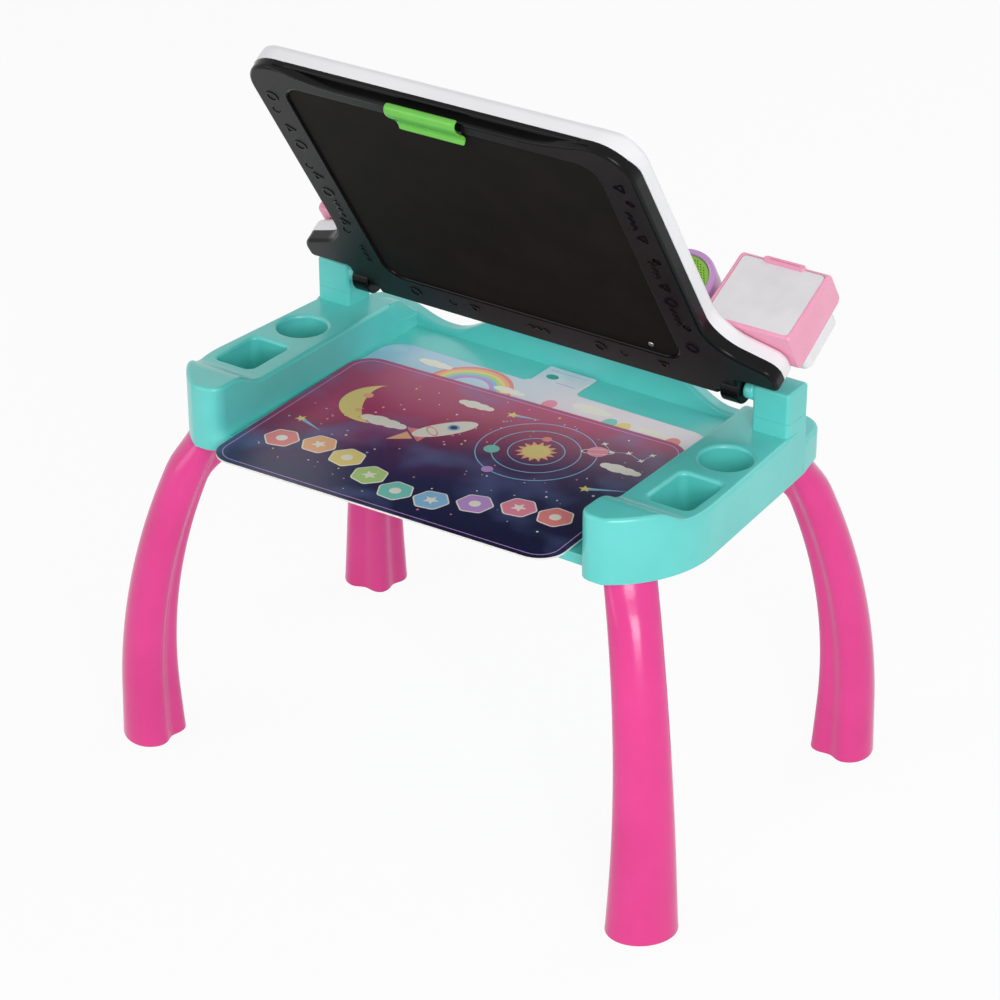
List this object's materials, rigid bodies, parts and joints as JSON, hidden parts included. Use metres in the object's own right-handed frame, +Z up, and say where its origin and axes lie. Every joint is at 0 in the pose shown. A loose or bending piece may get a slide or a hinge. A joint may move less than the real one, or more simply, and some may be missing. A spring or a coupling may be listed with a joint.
{
  "type": "children's activity desk",
  "caption": "Free-standing play desk on curved legs, with a storage tray and a hinged lid that is a touch deck above and a chalkboard below, with clip, speaker, display box and toy phone.",
  "frame": {"origin": "on the floor, under the middle of the box round the four feet", "axes": "+X to the child's right, +Y to the rear away from the child, +Z up"},
  "size_m": [0.6748, 0.4564, 0.7521],
  "materials": {
    "tray_plastic": "satin moulded",
    "leg_plastic": "glossy moulded",
    "frame_plastic": "satin moulded with fine grain",
    "board_plastic": "matt drawing surface",
    "deck_plastic": "satin moulded",
    "clip_plastic": "satin moulded",
    "display_plastic": "satin moulded",
    "window_plastic": "pale window",
    "speaker_plastic": "satin moulded",
    "grille_plastic": "perforated",
    "page_card": "printed and laminated",
    "pale_card": "printed and laminated",
    "steel": "plated",
    "circuit": "circuit board",
    "film": "touch film",
    "cell_wrap": "plain wrap"
  },
  "bodies": {
    "base": {"storage_tray": "tray_plastic", "leg_front_left": "leg_plastic", "leg_front_right": "leg_plastic", "leg_rear_left": "leg_plastic", "leg_rear_right": "leg_plastic", "hinge_arm_left": "tray_plastic", "hinge_arm_right": "tray_plastic", "hinge_pin_left": "steel", "hinge_pin_right": "steel", "hinge_arm_screws": "steel"},
    "lid": {"chalkboard_frame": "frame_plastic", "chalkboard_panel": "board_plastic", "deck_shell": "deck_plastic", "frame_screws": "steel", "touch_sheet": "film", "main_circuit_board": "circuit", "clip_rod": "steel", "clip_spring": "steel", "display_bezel": "display_plastic", "display_panel": "window_plastic", "display_circuit_board": "circuit", "display_rear_shell": "deck_plastic", "battery_door": "deck_plastic", "battery_door_screw": "steel", "batteries": "cell_wrap", "battery_contacts": "steel", "speaker_bezel": "speaker_plastic", "speaker_grille": "grille_plastic", "speaker_driver": "cell_wrap", "phone_cradle": "deck_plastic"},
    "switch": {"power_switch": "clip_plastic"},
    "clip": {"paper_clip": "clip_plastic"},
    "handset": {"phone_handset": "display_plastic", "phone_ear_covers": "speaker_plastic"},
    "page_top": {"activity_page_top": "page_card"},
    "page_second": {"activity_page_second": "pale_card"}
  },
  "joints": [
    {"name": "lid_hinge", "type": "hinge", "parent": "base", "child": "lid", "pos_m": [0, 0.0864, 0.438], "axis": [-1, 0, 0], "range_deg": [-60, 42.7]},
    {"name": "clip_hinge", "type": "hinge", "parent": "lid", "child": "clip", "pos_m": [0, -0.11004, 0.71948], "axis": [-1, 0, 0], "range_deg": [0, 12], "stiffness_Nm_per_rad": 0.15, "springref_deg": -17.19},
    {"name": "switch_slide", "type": "slide", "parent": "lid", "child": "switch", "axis": [1, 0, 0], "range_m": [-0.004, 0.004]},
    {"name": "handset_lift", "type": "slide", "parent": "lid", "child": "handset", "axis": [0, 0.8411, 0.5408], "range_m": [0, 0.08]},
    {"name": "page_top_slide", "type": "slide", "parent": "base", "child": "page_top", "axis": [0, -1, 0], "range_m": [0, 0.25]},
    {"name": "page_second_slide", "type": "slide", "parent": "base", "child": "page_second", "axis": [0, -1, 0], "range_m": [0, 0.25]}
  ]
}
